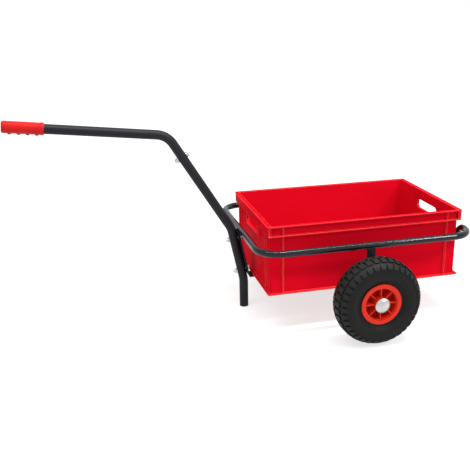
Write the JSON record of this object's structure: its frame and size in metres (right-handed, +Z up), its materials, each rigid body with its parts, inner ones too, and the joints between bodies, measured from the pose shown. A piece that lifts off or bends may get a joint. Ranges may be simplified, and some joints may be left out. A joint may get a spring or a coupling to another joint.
{
  "type": "garden hand cart",
  "caption": "Hand cart with a stacking crate in a tubular hoop frame, bent drawbar with grip, and air-tyred spoked wheels on stub axles.",
  "frame": {"origin": "on the floor under the middle of the cart's overall length and width", "axes": "+X towards the crate's rear end, the grip at -X; +Y across the cart to its right-hand side as the puller faces away from the crate; +Z up"},
  "size_m": [1.2977, 0.7806, 0.6107],
  "materials": {
    "crate_plastic": "satin moulded",
    "hoop_paint": "glossy powder coat",
    "frame_paint": "satin powder coat",
    "zinc": "zinc plated",
    "grip_plastic": "soft moulded",
    "black_plastic": "matt",
    "tyre_rubber": "matt",
    "rim_plastic": "moulded",
    "bush_plastic": "natural",
    "valve_rubber": "matt"
  },
  "bodies": {
    "chassis": {"hoop": "hoop_paint", "hanger_left": "frame_paint", "hanger_right": "frame_paint", "cross_bar": "frame_paint", "long_strap": "frame_paint", "rest_front": "frame_paint", "rest_rear": "frame_paint", "stop_left": "frame_paint", "stop_right": "frame_paint", "drawbar_upper": "frame_paint", "drawbar_lower": "frame_paint", "joint_sleeve": "zinc", "grip": "grip_plastic", "foot_plug": "black_plastic", "joint_bolt": "zinc", "leg_bolts": "zinc", "nuts": "zinc", "washers": "zinc", "axle_left": "zinc", "axle_right": "zinc", "spacer_left": "frame_paint", "spacer_right": "frame_paint", "axle_washers": "zinc", "cap_left": "zinc", "cap_right": "zinc"},
    "wheel_left": {"tyre_left": "tyre_rubber", "rim_left": "rim_plastic", "bushes_left": "bush_plastic", "valve_left": "valve_rubber"},
    "wheel_right": {"tyre_right": "tyre_rubber", "rim_right": "rim_plastic", "bushes_right": "bush_plastic", "valve_right": "valve_rubber"},
    "crate": {"crate": "crate_plastic"}
  },
  "joints": [
    {"name": "wheel_left_spin", "type": "hinge", "parent": "chassis", "child": "wheel_left", "pos_m": [0.29537, -0.34, 0.124], "axis": [0, -1, 0], "continuous": true},
    {"name": "wheel_right_spin", "type": "hinge", "parent": "chassis", "child": "wheel_right", "pos_m": [0.29537, 0.34, 0.124], "axis": [0, -1, 0], "continuous": true},
    {"name": "crate_lift", "type": "slide", "parent": "chassis", "child": "crate", "axis": [0, 0, 1], "range_m": [0, 0.25]}
  ]
}
